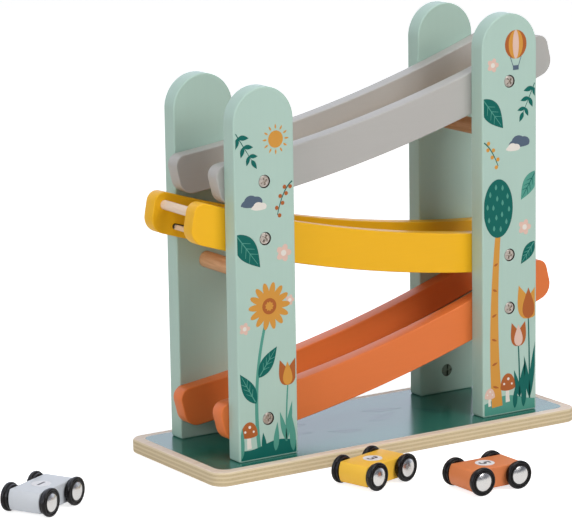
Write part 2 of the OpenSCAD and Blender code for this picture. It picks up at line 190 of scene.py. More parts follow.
# Points along the round stretches of outlines, and steps round turned pieces
SMALL_ARC = 7
RAMP_CORNER_ARC = 13
BASE_CORNER_ARC = 17
NOSE_ARC = 25
RAMP_ARC = 81
POST_TOP_ARC = 97
ROD_TURNS = 48
SCREW_TURNS = 72
CAP_TURNS = 72
LABEL_TURNS = 72
WHEEL_TURNS = 96

# The print: its distance from a post's sides and foot, its layers of ink, and the widths of its lines
PRINT_MARGIN = 1.3
PRINT_FOOT = 1
INK_T = 0.03
INK_DEPTH = 0.05
RIB_W = (0.7, 0.3)
VEIN_W = (0.5, 0.25)
TWIG_W = (0.7, 0.4)
BERRY_TWIG_W = (0.9, 0.5)
TULIP_STEM_W = (1.3, 0.9)
SUNFLOWER_STEM_W = (2.6, 1.8)
TRUNK_W = (8.5, 4)
ROPE_W = (0.4, 0.4)
SPLIT_W = 0.7

# Plywood, its painted field, and how far under a face the look of the edge starts and ends to give way
PLIES = 7
PLY_T = BASE_TOP / PLIES
FIELD_INSET = 6.5
FIELD_CORNER_R = 7.5
FIELD_SOFT = 0.12
FACE_FADE = (0.5, 0.15)

# The floor's half width, and how brightly it shows to the camera and in gloss
FLOOR_HALF = 30000
FLOOR_GLOW = 0.75
FLOOR_MIRROR_GLOW = 0.35

# The room that gloss mirrors: its parts' brightness, and where each part starts and is full, by direction
ROOM_DARK = 0.2
ROOM_LEFT = 0.7
ROOM_BEHIND = 1.45
OVERHEAD = (0.35, 0.85)
BACKDROP = (-0.55, 0.25)
LEFT_WALL = (-0.35, -0.85)
COOL_WHITE = (0.88, 0.94, 1.1, 1)

# Light: an even share, one from above and one from a wide window, and lamps with place, size and power
LIGHT_EVEN = 0.02
LIGHT_ABOVE = 0.06
LIGHT_WINDOW = 0.36
WINDOW_AIM = (-0.62, -0.74, 0.26)
LAMP_TARGET = (0, 0, 120)
LAMPS = {
    "key": ((400, -1500, 1100), 900, 15.5),
    "left": ((-1700, -450, 700), 900, 9.5),
    "top": ((0, 0, 2000), 1500, 12),
}

# The camera: its lens and sensor, its reach in metres, its place, and its yaw, pitch and roll in degrees
CAMERA_LENS = 197.11
CAMERA_SENSOR = 36
CAMERA_REACH = 100
CAMERA_PLACE = (-1086.54, -1624.45, 525.83)
CAMERA_ANGLES = (-32.499, 11.839, -0.907)


# Meshes

def arc(centre, radius, start, end, points, sign=1):
    """An arc's points, centre + radius * (cos, sin), and its outward normals, sign * (cos, sin).

    The sign is -1 where the outline is hollow."""
    angle = np.radians(np.linspace(start, end, points))
    ray = np.stack([np.cos(angle), np.sin(angle)], 1)
    return np.array(centre) + radius * ray, sign * ray


def joined(arcs):
    """One outline from arcs whose ends are joined by straight lines: its points and its normals."""
    return np.concatenate([a[0] for a in arcs]), np.concatenate([a[1] for a in arcs])


def mirrored(outline):
    """The outline's mirror image across its second axis, still running anticlockwise."""
    flip = np.array([-1, 1])
    return outline[0][::-1] * flip, outline[1][::-1] * flip


def in_scene(name, data):
    """A new object of the given data, linked to the scene."""
    made = bpy.data.objects.new(name, data)
    bpy.context.scene.collection.objects.link(made)
    return made


def new_piece(name, shape, finish, body, replaced=(), slot=None):
    """A mesh object of (points, faces), which rides on a body and stands for the nodes in replaced.

    The slot argument is not used."""
    points, faces = shape
    slot = slot or finish
    mesh = bpy.data.meshes.new(name)
    mesh.from_pydata((points * MM).tolist(), [], faces)
    piece = in_scene(name, mesh)
    mesh.materials.append(MATERIALS[finish])
    smooth(mesh)
    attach(piece, body)
    if replaced:
        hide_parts(*replaced)
    return piece


def smooth(mesh, sharp=32):
    """Smooth shading, broken at edges sharper than the given angle in degrees."""
    mesh.shade_smooth()
    mesh.set_sharp_from_angle(angle=math.radians(sharp))


def ring_faces(rings, count, closed_ends):
    """Faces of a stack of rings with count points each, anticlockwise about the stack's direction."""
    here = np.arange(count)
    after = np.roll(here, -1)
    faces = []
    for ring in range(rings - 1):
        low, high = ring * count, (ring + 1) * count
        faces += np.stack([low + here, low + after, high + after, high + here], 1).tolist()
    if closed_ends:
        faces.append(here[::-1].tolist())
        faces.append((here + (rings - 1) * count).tolist())
    return faces


def slab(outline, low, high, edge_r, along="y", steps=5):
    """A board with rounded edges: the outline drawn in at both faces by a quarter circle.

    A ring of the board is outline - inset * normal at its depth. As a goes from 0 to 90 degrees, the inset
    is edge_r * (1 - sin a) and the depth inside the face is edge_r * (1 - cos a). One more ring, drawn in
    by 1.4 * edge_r, keeps the face flat."""
    points, normals = outline
    angle = np.radians(np.linspace(0, 90, steps))
    inset = np.concatenate([[edge_r * 1.4], edge_r * (1 - np.sin(angle))])
    depth = np.concatenate([[0], edge_r * (1 - np.cos(angle))])
    insets = np.concatenate([inset, inset[::-1]])
    depths = np.concatenate([low + depth, high - depth[::-1]])
    flat = points[None] - insets[:, None, None] * normals[None]
    level = np.broadcast_to(depths[:, None, None], flat.shape[:2] + (1,))
    faces = ring_faces(len(insets), len(points), True)
    if along == "y":
        stack = np.concatenate([flat[..., :1], level, flat[..., 1:]], 2)
        faces = [face[::-1] for face in faces]
    else:
        stack = np.concatenate([flat, level], 2)
    return stack.reshape(-1, 3), faces


def lathe(profile, turns):
    """A body turned about Z: profile points (radius, height) from the bottom up, swept round a circle.

    A radius of zero closes a pole with one point and a fan."""
    profile = np.asarray(profile, float)
    angle = np.linspace(0, 2 * np.pi, turns, endpoint=False)
    circle = np.stack([np.cos(angle), np.sin(angle)], 1)
    start, end = profile[0, 0] == 0, profile[-1, 0] == 0
    rings = profile[int(start):len(profile) - int(end)]
    flat = rings[:, None, :1] * circle[None]
    level = np.broadcast_to(rings[:, None, 1:], flat.shape[:2] + (1,))
    points = np.concatenate([flat, level], 2).reshape(-1, 3)
    faces = ring_faces(len(rings), turns, False)
    here = np.arange(turns)
    after = np.roll(here, -1)
    if start:
        points = np.vstack([points, [[0, 0, profile[0, 1]]]])
        faces += np.stack([after, here, np.full(turns, len(points) - 1)], 1).tolist()
    if end:
        top = (len(rings) - 1) * turns
        points = np.vstack([points, [[0, 0, profile[-1, 1]]]])
        faces += np.stack([top + here, top + after, np.full(turns, len(points) - 1)], 1).tolist()
    return points, faces


def merged(shapes):
    """Several (points, faces) shapes as one."""
    points, faces, count = [], [], 0
    for shape_points, shape_faces in shapes:
        points.append(shape_points)
        faces += [[index + count for index in face] for face in shape_faces]
        count += len(shape_points)
    return np.vstack(points), faces


def turned(shape, rows, offset=(0, 0, 0)):
    """A shape with its axes turned by a rotation matrix, given as rows, and then moved."""
    points, faces = shape
    return points @ np.array(rows, float).T + np.array(offset, float), faces


def about_z(degrees):
    """The rows of a rotation about Z."""
    cos, sin = math.cos(math.radians(degrees)), math.sin(math.radians(degrees))
    return (cos, -sin, 0), (sin, cos, 0), (0, 0, 1)


# Turns the Z axis of a lathe to +Y or -Y
TO_BACK = ((1, 0, 0), (0, 0, 1), (0, -1, 0))
TO_FRONT = ((1, 0, 0), (0, 0, -1), (0, 1, 0))


def rod(x, z, diameter, low_y, high_y, edge=ROD_EDGE_R):
    """A round bar along Y, with its two rims rounded by quarter circles."""
    radius = diameter / 2
    angle = np.radians([0, 30, 60, 90])
    lower = np.stack([radius - edge + edge * np.sin(angle), low_y + edge * (1 - np.cos(angle))], 1)
    upper = np.stack([radius - edge + edge * np.cos(angle), high_y - edge * (1 - np.sin(angle))], 1)
    profile = np.vstack([[[0, low_y]], lower, upper, [[0, high_y]]])
    return turned(lathe(profile, ROD_TURNS), TO_BACK, (x, 0, z))


def bore(x, z, diameter, start, end):
    """A round cutter along Y between two depths, in either order."""
    return rod(x, z, diameter, *sorted((start, end)), CUTTER_EDGE_R)


def carve(piece, shapes):
    """Cuts closed shapes, in millimetres, out of a piece. The walls of the cuts get a dark brown wood finish,
    which is painted shade for the inside of holes, recesses and grooves.
    """
    points, faces = merged(shapes)
    mesh = bpy.data.meshes.new("cutter")
    mesh.from_pydata((points * MM).tolist(), [], faces)
    # The cutter's dark finish passes to the cut walls: painted shade inside the holes
    mesh.materials.append(MATERIALS["bored_wood"])
    cutter = in_scene("cutter", mesh)
    modifier = piece.modifiers.new("carve", "BOOLEAN")
    modifier.operation = "DIFFERENCE"
    modifier.solver = "EXACT"
    modifier.material_mode = "TRANSFER"
    modifier.use_self = True
    modifier.object = cutter
    evaluated = piece.evaluated_get(bpy.context.evaluated_depsgraph_get())
    carved = bpy.data.meshes.new_from_object(evaluated)
    piece.modifiers.clear()
    piece.data = carved
    smooth(carved)
    bpy.data.objects.remove(cutter)


# Materials

def srgb(red, green, blue):
    """A shader colour from the 0 to 255 values that it shows on a screen."""
    share = np.array([red, green, blue]) / 255
    linear = np.where(share <= 0.04045, share / 12.92, ((share + 0.055) / 1.055) ** 2.4)
    return (*linear.tolist(), 1)


class Wire:
    """A socket of a finish, whose sums, differences, products and quotients add Math nodes."""

    def __init__(self, finish, socket):
        self.finish = finish
        self.socket = socket

    def maths(self, operation, *others):
        """A Math node on this value and others."""
        return self.finish.node("Math", {"operation": operation}, [self, *others])

    def __add__(self, other):
        return self.maths("ADD", other)

    def __sub__(self, other):
        return self.maths("SUBTRACT", other)

    def __mul__(self, other):
        return self.maths("MULTIPLY", other)

    def __truediv__(self, other):
        return self.maths("DIVIDE", other)

    def __rsub__(self, other):
        return self.finish.node("Math", {"operation": "SUBTRACT"}, [other, self])

    def __abs__(self):
        return self.maths("ABSOLUTE")

    __radd__ = __add__
    __rmul__ = __mul__

    def at_least(self, other):
        """The larger of this value and another."""
        return self.maths("MAXIMUM", other)

    def rise(self, low, high):
        """0 up to low, 1 from high on, and a smooth step between them. With low above high it falls."""
        if low > high:
            return 1 - self.rise(high, low)
        sockets = [self, low, high, 0, 1]
        return self.finish.node("MapRange", {"interpolation_type": "SMOOTHSTEP"}, sockets)


class Finish:
    """A material with a Principled shader. Its patterns read object coordinates."""

    def __init__(self, name):
        self.material = bpy.data.materials.new(name)
        self.material.use_nodes = True
        self.tree = self.material.node_tree
        self.shader = self.tree.nodes["Principled BSDF"]
        self.place = self.node("TexCoord", out="Object")

    def node(self, kind, settings=None, sockets=(), out=0):
        """Adds a node, sets its settings, feeds its sockets and returns one of its outputs."""
        made = self.tree.nodes.new("ShaderNode" + kind)
        for key, value in (settings or {}).items():
            setattr(made, key, value)
        for key, value in sockets.items() if isinstance(sockets, dict) else enumerate(sockets):
            self.feed(made.inputs[key], value)
        return Wire(self, made.outputs[out])

    def feed(self, socket, value):
        """Links a wire to a socket, or sets the socket's own value."""
        if isinstance(value, Wire):
            self.tree.links.new(value.socket, socket)
        else:
            socket.default_value = value

    def noise(self, lengths, detail=2, roughness=0.5):
        """Noise from 0 to 1 whose blobs have the given lengths in millimetres along X, Y and Z."""
        scale = [1 / (length * MM) for length in lengths]
        point = self.node("VectorMath", {"operation": "MULTIPLY"}, [self.place, scale])
        sockets = {"Vector": point, "Scale": 1, "Detail": detail, "Roughness": roughness}
        return self.node("TexNoise", {}, sockets)

    def part(self, index):
        """The X, Y or Z part of the place."""
        return self.node("SeparateXYZ", {}, [self.place], index)

    def ray(self, kind):
        """1 for a ray of a kind, such as Camera or Glossy, and 0 for any other."""
        return self.node("LightPath", {}, (), f"Is {kind} Ray")

    def mix(self, factor, first, second):
        """A colour between first and second."""
        return self.node("Mix", {"data_type": "RGBA"}, {0: factor, 6: first, 7: second}, 2)

    def shade(self, colour, amount):
        """A colour made lighter or darker by a factor of amount."""
        vector = colour[:3] if isinstance(colour, tuple) else colour
        return self.node("VectorMath", {"operation": "SCALE"}, {0: vector, "Scale": amount})

    def bump(self, height, distance):
        """A normal from a height that goes from 0 to 1, for a depth of distance millimetres."""
        return self.node("Bump", {}, {"Strength": 1, "Distance": distance * MM, "Height": height})

    def set(self, **sockets):
        """Feeds the shader's sockets. An underscore in a name stands for a space."""
        for key, value in sockets.items():
            self.feed(self.shader.inputs[key.replace("_", " ")], value)
        return self.material


def painted(name, colour, grain=(60, 1.1, 1.1), gloss=0.3):
    """Satin paint on wood: a faint trace of the grain, a little unevenness and fine orange peel."""
    finish = Finish(name)
    streak = finish.noise(grain, 3)
    cloud = finish.noise((45, 45, 45))
    peel = finish.noise((0.7, 0.7, 0.7))
    tone = 0.965 + 0.035 * streak + 0.035 * cloud
    height = 0.6 * streak + 0.4 * peel
    return finish.set(Base_Color=finish.shade(colour, tone), Specular_IOR_Level=gloss,
                      Roughness=0.34 + 0.1 * cloud + 0.06 * streak, Normal=finish.bump(height, 0.03))


def bare_wood(name, light, dark, grain):
    """Sanded wood: wavy long streaks between two tones, and fine short pores along the grain."""
    finish = Finish(name)
    streak = finish.noise(grain, 4, 0.6)
    fine = finish.noise([length * 0.25 for length in grain], 2)
    pores = finish.noise([max(length * 0.12, 0.16) for length in grain], 1).rise(0.6, 0.72)
    tone = finish.mix(streak.rise(0.3, 0.7), light, dark)
    tone = finish.shade(tone, 0.95 + 0.1 * fine - 0.08 * pores)
    height = streak * 0.5 + fine * 0.5 - pores * 0.4
    return finish.set(Base_Color=tone, Roughness=0.5 + 0.15 * fine, Normal=finish.bump(height, 0.05))


def plated(name, colour, roughness, wear=0.12):
    """Plated steel with a slightly uneven lustre."""
    finish = Finish(name)
    smear = finish.noise((2.4, 2.4, 2.4), 2)
    return finish.set(Base_Color=finish.shade(colour, 1 - wear + wear * smear), Metallic=1.0,
                      Roughness=roughness * (0.7 + 0.6 * smear), Normal=finish.bump(smear, wear * 0.1))


def moulded(name, colour, roughness, gloss=0.5):
    """Moulded plastic with a fine grain."""
    finish = Finish(name)
    grain = finish.noise((0.4, 0.4, 0.4), 2)
    smear = finish.noise((6, 6, 6), 2)
    return finish.set(Base_Color=finish.shade(colour, 0.9 + 0.2 * smear), Specular_IOR_Level=gloss,
                      Roughness=roughness + 0.12 * smear, Normal=finish.bump(grain, 0.015))


# Colours of the plywood: its plies along and across the grain, its glue, its faces and its field
PLY_LIGHT, PLY_MID = srgb(224, 207, 174), srgb(214, 195, 158)
PLY_DARK, PLY_DEEP = srgb(208, 188, 150), srgb(196, 175, 136)
PLY_GLUE = srgb(172, 149, 112)
VENEER_LIGHT, VENEER_DARK = srgb(240, 222, 206), srgb(227, 206, 184)
FIELD_GREEN = srgb(30, 108, 94)


def field_mask(x, y):
    """1 on the painted field and 0 off it, by the distance past a rectangle with round corners.

    With (dx, dy) as the distance past the corner circles' centres, that is the length of
    (max(dx, 0), max(dy, 0)) - FIELD_CORNER_R, plus min(max(dx, dy), 0)."""
    past_x = abs(x) - (BASE_HALF_L - FIELD_INSET - FIELD_CORNER_R)
    past_y = abs(y) - (BASE_HALF_W - FIELD_INSET - FIELD_CORNER_R)
    beyond_x, beyond_y = past_x.at_least(0.0), past_y.at_least(0.0)
    reach = (beyond_x * beyond_x + beyond_y * beyond_y).maths("SQRT") - FIELD_CORNER_R
    inside = past_x.at_least(past_y).maths("MINIMUM", 0.0)
    return (reach + inside).rise(FIELD_SOFT, -FIELD_SOFT)


def plywood_with_field():
    """Birch plywood whose edges show their plies, with a glossy green field on top, in from the edges."""
    finish = Finish("plywood")
    x, y, z = (finish.part(index) / MM for index in range(3))
    waver = finish.noise((30, 30, 30), 2)
    layer = (z / PLY_T) + 0.18 * (waver - 0.5)
    in_layer = layer.maths("FRACT")
    cross = (layer * 0.5).maths("FRACT").rise(0.49, 0.51)
    glue = in_layer.rise(0.09, 0.0) + in_layer.rise(0.91, 1.0)
    long_grain = finish.noise((26, 26, 0.35), 3, 0.6)
    end_grain = finish.noise((0.7, 0.7, 0.5), 2)
    veneer = finish.noise((55, 1.6, 1.6), 4, 0.6)
    pale = finish.mix(long_grain.rise(0.3, 0.7), PLY_LIGHT, PLY_MID)
    deep = finish.mix(end_grain.rise(0.3, 0.7), PLY_DARK, PLY_DEEP)
    edge = finish.mix(glue * 0.45, finish.mix(cross, pale, deep), PLY_GLUE)
    face = finish.mix(veneer.rise(0.3, 0.75), VENEER_LIGHT, VENEER_DARK)
    on_top = z.rise(*(BASE_TOP - depth for depth in FACE_FADE))
    bare = finish.mix(on_top.at_least(z.rise(*FACE_FADE)), edge, face)
    field = field_mask(x, y) * on_top
    brushed = finish.noise((40, 2.4, 2.4), 3, 0.6)
    speck = finish.noise((0.9, 0.9, 0.9), 2)
    green = finish.shade(FIELD_GREEN, 0.8 + 0.3 * brushed + 0.1 * speck)
    wood_height = 0.6 * veneer + 0.4 * long_grain
    height = (1 - field) * wood_height + field * (0.25 * brushed + 0.15 * speck + 0.6)
    return finish.set(Base_Color=finish.mix(field, bare, green),
                      Roughness=0.5 - 0.33 * field + 0.05 * brushed, Normal=finish.bump(height, 0.02))


# Finishes: for each way of making one, their names and measures. What stands upright has its grain along Z.
UPRIGHT = (1.6, 1.1, 70)
INKS = {
    "dark_teal": srgb(14, 100, 91), "mid_teal": srgb(84, 154, 138), "ochre_ink": srgb(212, 150, 66),
    "rust_ink": srgb(174, 96, 48), "pink_ink": srgb(224, 190, 175), "cream_ink": srgb(230, 223, 214),
    "slate_ink": srgb(86, 101, 120),
}
LOOKS = {
    painted: {
        "mint_paint": (srgb(175, 202, 190), UPRIGHT, 0.5),
        "grey_paint": (srgb(182, 179, 175),),
        "yellow_paint": (srgb(245, 184, 22),),
        "orange_paint": (srgb(232, 122, 60),),
        "white_car_paint": (srgb(208, 212, 218),),
        "yellow_car_paint": (srgb(250, 196, 66),),
        "orange_car_paint": (srgb(222, 130, 78),),
        **{ink: (colour, UPRIGHT, 0.15) for ink, colour in INKS.items()},
    },
    bare_wood: {
        "pale_wood": (srgb(236, 212, 184), srgb(222, 190, 156), (34, 3, 3)),
        "bar_wood": (srgb(246, 224, 204), srgb(234, 206, 180), (1.4, 22, 1.4)),
        "beech": (srgb(218, 167, 124), srgb(198, 142, 98), (1.6, 20, 1.6)),
        # The walls of cuts: bare wood darkened to brown, painted shade inside holes, recesses and grooves
        "bored_wood": (srgb(74, 60, 50), srgb(52, 42, 35), (2, 2, 2)),
    },
    plated: {
        "steel": (srgb(196, 186, 176), 0.36),
        # Barrel nuts: steel darkened and tinted mint, painted shade in the colour of the shaded post round
        # them
        "dark_steel": (srgb(98, 108, 95), 0.4),
        "cap_chrome": (srgb(214, 212, 210), 0.22, 0.06),
    },
    moulded: {
        "black_plastic": (srgb(12, 8, 8), 0.2, 0.25),
        "label": (srgb(232, 232, 237), 0.45, 0.3),
        "figure_ink": (srgb(58, 56, 66), 0.5),
        "field_ink": (srgb(16, 82, 76), 0.12),
    },
}
MATERIALS = {name: make(name, *look) for make, looks in LOOKS.items() for name, look in looks.items()}
MATERIALS["plywood"] = plywood_with_field()


# The base and the posts

def base_outline():
    """A rectangle with round corners."""
    x, y, r = BASE_HALF_L - BASE_CORNER_R, BASE_HALF_W - BASE_CORNER_R, BASE_CORNER_R
    starts = {(1, -1): -90, (1, 1): 0, (-1, 1): 90, (-1, -1): 180}
    return joined([arc((right * x, back * y), r, start, start + 90, BASE_CORNER_ARC)
                   for (right, back), start in starts.items()])


def make_base():
    """The base board, with a stepped hole from below for the bolt of each post."""
    board = slab(base_outline(), 0, BASE_TOP, BASE_EDGE_R, "z")
    piece = new_piece("base_board_wood", board, "plywood", "root", ["base_board"])
    head_r, hole_r = BOLT_RECESS_D / 2, BOLT_HOLE_D / 2
    recess = lathe([(0, -OVERRUN), (head_r, -OVERRUN), (head_r, BOLT_RECESS_H), (hole_r, BOLT_RECESS_H),
                    (hole_r, BASE_TOP + OVERRUN), (0, BASE_TOP + OVERRUN)], ROD_TURNS)
    post_y = (POST_INNER_Y + POST_OUTER_Y) / 2
    carve(piece, [turned(recess, np.eye(3), (side * POST_X, face * post_y, 0))
                  for side in BOTH_WAYS for face in BOTH_WAYS])


def post_outline(side):
    """A post's front: an upright board with a half-round top and slightly round corners at its foot."""
    x, half, r = side * POST_X, POST_W / 2, POST_FOOT_R
    return joined([
        arc((x - half + r, BASE_TOP + r), r, 180, 270, SMALL_ARC),
        arc((x + half - r, BASE_TOP + r), r, 270, 360, SMALL_ARC),
        arc((x, POST_TOP[side] - half), half, 0, 180, POST_TOP_ARC),
    ])


def screw_heights(side):
    """Heights of the ramp screws in the left or right posts."""
    return [BASE_TOP + (high if high_side == side else low) for low, high, high_side, _ in RAMPS.values()]


def brace_height(side):
    """The height of the middle of the left or right brace."""
    low, high = corners(SIDE_NAMES[side] + "_brace")
    return (low[2] + high[2]) / 2


def make_post(side, face):
    """A post with its screw holes, its brace's seat and its barrel nut's hole. Face is -1 in front."""
    name = f"{FACE_NAMES[face]}_{SIDE_NAMES[side]}_post"
    depths = sorted((face * POST_INNER_Y, face * POST_OUTER_Y))
    piece = new_piece(name + "_wood", slab(post_outline(side), *depths, POST_EDGE_R), "mint_paint", "root",
                      [name])
    x, heights = side * POST_X, screw_heights(side)
    inner, outer = face * (POST_INNER_Y - OVERRUN), face * (POST_OUTER_Y + OVERRUN)
    head_seat = face * (POST_OUTER_Y - SCREW_SINK - SCREW_HEAD_H)
    brace_seat, nut_seat = face * (POST_INNER_Y + BRACE_SEAT), face * (POST_INNER_Y + NUT_L)
    shapes = [bore(x, z, SCREW_D + 2 * SCREW_GAP, inner, head_seat - face * CUT_SKIN) for z in heights]
    shapes += [bore(x, z, SCREW_HEAD_D + 2 * HEAD_GAP, head_seat, outer) for z in heights]
    shapes.append(bore(x, brace_height(side), BRACE_D + 2 * BAR_GAP, inner, brace_seat))
    shapes.append(bore(x, BASE_TOP + NUT_RISE, NUT_D + 2 * NUT_GAP, inner, nut_seat))
    carve(piece, shapes)


# The print on the front posts. A motif yields (ink, layer, outline). An outline is an array of points
# (across, up) in millimetres from the middle of a post's foot, and a higher layer lies on a lower one.

DARK, TEAL, OCHRE, RUST, PINK, CREAM, SLATE = INKS


def vectors(*points):
    """Points as arrays."""
    return [np.array(point, float) for point in points]


def left_of(way):
    """The direction of length 1 that lies 90 degrees anticlockwise from a way."""
    return np.array([-way[1], way[0]]) / np.linalg.norm(way)


def bent(t, start, bend, end):
    """The point at t of a bent line: (1 - t)^2 * start + 2 t (1 - t) * bend + t^2 * end."""
    return (1 - t) ** 2 * start + 2 * t * (1 - t) * bend + t ** 2 * end


def oval(across, up, half_w, half_h, points=36):
    """An ellipse: its middle plus (half_w * cos a, half_h * sin a)."""
    angle = np.linspace(0, 2 * np.pi, points, endpoint=False)
    return np.array([across, up]) + np.stack([half_w * np.cos(angle), half_h * np.sin(angle)], 1)


def petals(across, up, reach, dip, count):
    """A flower: the radius is reach - dip * (1 - |cos(count * a / 2)|) as the angle a goes round."""
    angle = np.linspace(0, 2 * np.pi, 12 * count, endpoint=False)
    radius = reach - dip * (1 - np.abs(np.cos(count * angle / 2)))
    return np.array([across, up]) + radius[:, None] * np.stack([np.cos(angle), np.sin(angle)], 1)


def leaf(base, tip, width, belly=0.8):
    """A pointed leaf: the line from base to tip, and width / 2 * sin(pi * t ^ belly) to either side."""
    base, tip = vectors(base, tip)
    t = np.linspace(0, 1, 17)[:, None]
    line = base + t * (tip - base)
    swell = width / 2 * np.sin(np.pi * t ** belly) * left_of(tip - base)
    return np.vstack([line - swell, (line + swell)[-2:0:-1]])


def blade(base, tip, width, ink, layer=3):
    """A blade of grass: a leaf that is widest a little below its middle."""
    return ink, layer, leaf(base, tip, width, 0.7)


def stroke(start, bend, end, widths, points=21):
    """A stem along a bent line, whose width changes evenly from the first of widths to the second."""
    t = np.linspace(0, 1, points)[:, None]
    line = bent(t, *vectors(start, bend, end))
    along = np.gradient(line, axis=0)
    side = np.stack([-along[:, 1], along[:, 0]], 1) / np.linalg.norm(along, axis=1)[:, None]
    half = (widths[0] + t * (widths[1] - widths[0])) / 2
    return np.vstack([line - half * side, (line + half * side)[::-1]])


def dome(across, up, half_w, height, sag, bump=0.0):
    """An upper half ellipse over a lower one of sag times its height.

    The upper half swells by a factor of 1 + bump * |sin(5 a / 2)|, which gives it five bumps in a turn."""
    angle = np.linspace(0, 2 * np.pi, 60, endpoint=False)
    rise = np.sin(angle)
    swell = 1 + bump * np.where(rise > 0, np.abs(np.sin(5 * angle / 2)), 0)
    tall = height * rise * swell * np.where(rise > 0, 1, sag)
    return np.array([across, up]) + np.stack([half_w * np.cos(angle) * swell, tall], 1)


def ground(crest, wave, length, shift):
    """A strip of ground from the foot up to crest + wave * sin(across / length + shift)."""
    across = np.linspace(POST_W / 2, -POST_W / 2, 41)
    top = np.stack([across, crest + wave * np.sin(across / length + shift)], 1)
    return np.vstack([[[-POST_W / 2, 0], [POST_W / 2, 0]], top])


def clouds(across, up, half_w, shift):
    """A cloud, with a small pale one before it to one side."""
    yield SLATE, 0, dome(across, up, half_w, 5.5, 0.25, 0.16)
    yield CREAM, 1, dome(across + shift, up - 2.5, 5, 3.6, 0.3, 0.16)


def sun(across, up, reach, ink):
    """A sun: a disc with twelve short rays round it."""
    middle = np.array([across, up])
    yield ink, 0, oval(across, up, reach * 0.56, reach * 0.56)
    for angle in np.radians(np.arange(0, 360, 30)):
        way = reach * np.array([math.cos(angle), math.sin(angle)])
        yield ink, 0, leaf(middle + 0.66 * way, middle + way, reach * 0.13)


def flower(across, up, reach, count=5, ink=PINK, heart=CREAM, layer=0):
    """A flower of count petals round a heart."""
    yield ink, layer, petals(across, up, reach, reach * 0.38, count)
    yield heart, layer + 1, oval(across, up, reach * 0.34, reach * 0.34, 24)


def veined_leaf(base, tip, width, ink=DARK, vein=TEAL, layer=0):
    """A leaf with a fine midrib and three pairs of side veins."""
    base, tip = vectors(base, tip)
    along, side = tip - base, left_of(tip - base)
    yield ink, layer, leaf(base, tip, width)
    yield vein, layer + 1, stroke(*(base + share * along for share in (0.06, 0.5, 0.9)), RIB_W)
    for share in (0.25, 0.42, 0.58):
        start = base + share * along
        for hand in BOTH_WAYS:
            end = start + 0.16 * along + hand * 0.3 * width * side
            yield vein, layer + 2, stroke(start, (start + end) / 2, end, VEIN_W, 5)


def sprig(base, tip, leaf_l, pairs):
    """A straight twig with pairs of small leaves at 50 degrees, and one at its tip."""
    base, tip = vectors(base, tip)
    along, side = (tip - base) / np.linalg.norm(tip - base), left_of(tip - base)
    cos, sin, slim = math.cos(math.radians(50)), math.sin(math.radians(50)), 0.42
    yield DARK, 0, stroke(base, (base + tip) / 2, tip, TWIG_W)
    yield DARK, 1, leaf(tip, tip + leaf_l * along, leaf_l * slim)
    for share in np.linspace(0.15, 0.85, pairs):
        start = base + share * (tip - base)
        size = leaf_l * (1.15 - 0.3 * share)
        for hand in BOTH_WAYS:
            yield DARK, 1, leaf(start, start + size * (cos * along + hand * sin * side), size * slim)


def berry_branch(base, bend, tip, count, radius, ink):
    """A bent twig with berries in turn on its two sides."""
    base, bend, tip = vectors(base, bend, tip)
    yield DARK, 0, stroke(base, bend, tip, BERRY_TWIG_W)
    for i, t in enumerate(np.linspace(0.2, 1, count)):
        along = (1 - t) * (bend - base) + t * (tip - bend)
        place = bent(t, base, bend, tip) + (-1) ** i * (radius + 0.3) * left_of(along)
        yield ink, 1, oval(*place, radius, radius, 20)


def toadstool(across, up, half_w, height, cap=RUST, layer=1):
    """A toadstool: a stalk, a domed cap and three spots on it."""
    cap_h = height * 0.5
    brim = up + cap_h
    yield CREAM, layer, stroke((across, up), (across - half_w * 0.1, up + height * 0.3), (across, brim),
                               (half_w * 0.55, half_w * 0.4))
    yield cap, layer + 1, dome(across, brim, half_w, cap_h, 0.2)
    for shift, lift, size in ((-0.5, 0.3, 0.13), (0.05, 0.62, 0.16), (0.52, 0.25, 0.12)):
        place, spot_r = (across + shift * half_w, brim + lift * cap_h), size * half_w
        yield CREAM, layer + 2, oval(*place, spot_r, spot_r, 16)


def tulip(across, up, height, lean, ink, heart, green):
    """A tulip: a stem, two long leaves, and a head of two side petals and a middle one."""
    foot, neck = vectors((across, up), (across + lean, up + height * 0.74))
    head = height * 0.26 + 4
    yield green, 1, stroke(foot, foot + (0, height * 0.4), neck, TULIP_STEM_W)
    for hand in BOTH_WAYS:
        yield green, 2, leaf(foot, foot + (hand * 4.5, height * (0.46 + 0.06 * hand)), 3.6)
        yield ink, 3, leaf(neck, neck + (hand * head * 0.34, head), head * 0.5, 0.6)
    yield heart, 4, leaf(neck, neck + (0, head * 0.9), head * 0.42, 0.6)


def balloon(across, up, reach, *gores):
    """A hot air balloon: nested ovals as its gores, two ropes and a basket."""
    for layer, (ink, wide) in enumerate(zip(gores, (1, 0.66, 0.28))):
        yield ink, layer, oval(across, up, reach * wide, reach * 1.08)

    def at(right, down):
        return np.array([across + reach * right, up - reach * down])

    for hand in BOTH_WAYS:
        top, end = at(hand * 0.5, 0.94), at(hand * 0.2, 1.75)
        yield SLATE, 3, stroke(top, (top + end) / 2, end, ROPE_W, 5)
    yield SLATE, 4, stroke(at(-0.26, 1.75), at(0, 1.75), at(0.26, 1.75), (reach * 0.34, reach * 0.34), 5)


